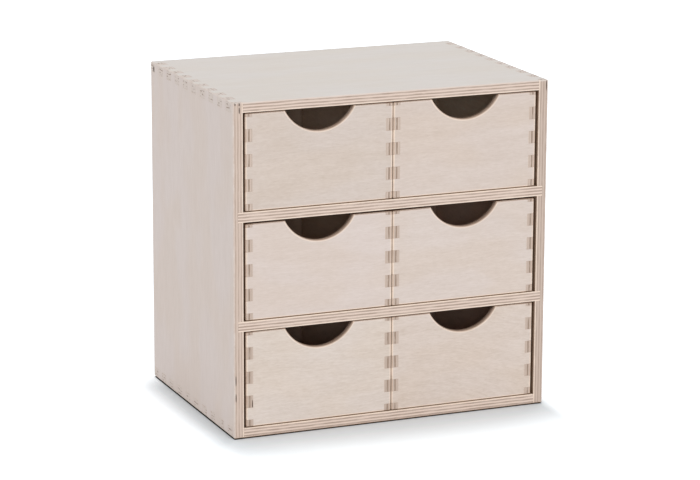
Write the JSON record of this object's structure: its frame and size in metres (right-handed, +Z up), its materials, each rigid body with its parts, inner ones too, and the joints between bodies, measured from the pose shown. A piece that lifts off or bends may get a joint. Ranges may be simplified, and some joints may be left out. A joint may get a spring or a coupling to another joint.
{
  "type": "desktop drawer chest",
  "caption": "Desktop chest of small drawers in birch plywood with box joints, each drawer pulled by a half-round finger notch in its front.",
  "frame": {"origin": "on the ground under the middle of the chest", "axes": "the front faces -Y, +X to the right seen from the front, +Z up"},
  "size_m": [0.3, 0.215, 0.3],
  "materials": {
    "chest_board": "sanded birch plywood, nine millimetres, bare",
    "drawer_front": "sanded birch plywood, bare, grain across",
    "drawer_wall": "sanded birch plywood, bare",
    "thin_panel": "thin birch plywood, bare"
  },
  "bodies": {
    "chest": {"side_left": "chest_board", "side_right": "chest_board", "top_panel": "chest_board", "bottom_panel": "chest_board", "shelf_lower": "chest_board", "shelf_upper": "chest_board", "back_panel": "thin_panel"},
    "bottom_left_drawer": {"bottom_left_drawer_front": "drawer_front", "bottom_left_drawer_left_wall": "drawer_wall", "bottom_left_drawer_right_wall": "drawer_wall", "bottom_left_drawer_back": "drawer_wall", "bottom_left_drawer_bottom": "thin_panel"},
    "bottom_right_drawer": {"bottom_right_drawer_front": "drawer_front", "bottom_right_drawer_left_wall": "drawer_wall", "bottom_right_drawer_right_wall": "drawer_wall", "bottom_right_drawer_back": "drawer_wall", "bottom_right_drawer_bottom": "thin_panel"},
    "middle_left_drawer": {"middle_left_drawer_front": "drawer_front", "middle_left_drawer_left_wall": "drawer_wall", "middle_left_drawer_right_wall": "drawer_wall", "middle_left_drawer_back": "drawer_wall", "middle_left_drawer_bottom": "thin_panel"},
    "middle_right_drawer": {"middle_right_drawer_front": "drawer_front", "middle_right_drawer_left_wall": "drawer_wall", "middle_right_drawer_right_wall": "drawer_wall", "middle_right_drawer_back": "drawer_wall", "middle_right_drawer_bottom": "thin_panel"},
    "top_left_drawer": {"top_left_drawer_front": "drawer_front", "top_left_drawer_left_wall": "drawer_wall", "top_left_drawer_right_wall": "drawer_wall", "top_left_drawer_back": "drawer_wall", "top_left_drawer_bottom": "thin_panel"},
    "top_right_drawer": {"top_right_drawer_front": "drawer_front", "top_right_drawer_left_wall": "drawer_wall", "top_right_drawer_right_wall": "drawer_wall", "top_right_drawer_back": "drawer_wall", "top_right_drawer_bottom": "thin_panel"}
  },
  "joints": [
    {"name": "bottom_left_drawer_slide", "type": "slide", "parent": "chest", "child": "bottom_left_drawer", "axis": [0, -1, 0], "range_m": [0, 0.175]},
    {"name": "bottom_right_drawer_slide", "type": "slide", "parent": "chest", "child": "bottom_right_drawer", "axis": [0, -1, 0], "range_m": [0, 0.175]},
    {"name": "middle_left_drawer_slide", "type": "slide", "parent": "chest", "child": "middle_left_drawer", "axis": [0, -1, 0], "range_m": [0, 0.175]},
    {"name": "middle_right_drawer_slide", "type": "slide", "parent": "chest", "child": "middle_right_drawer", "axis": [0, -1, 0], "range_m": [0, 0.175]},
    {"name": "top_left_drawer_slide", "type": "slide", "parent": "chest", "child": "top_left_drawer", "axis": [0, -1, 0], "range_m": [0, 0.175]},
    {"name": "top_right_drawer_slide", "type": "slide", "parent": "chest", "child": "top_right_drawer", "axis": [0, -1, 0], "range_m": [0, 0.175]}
  ]
}
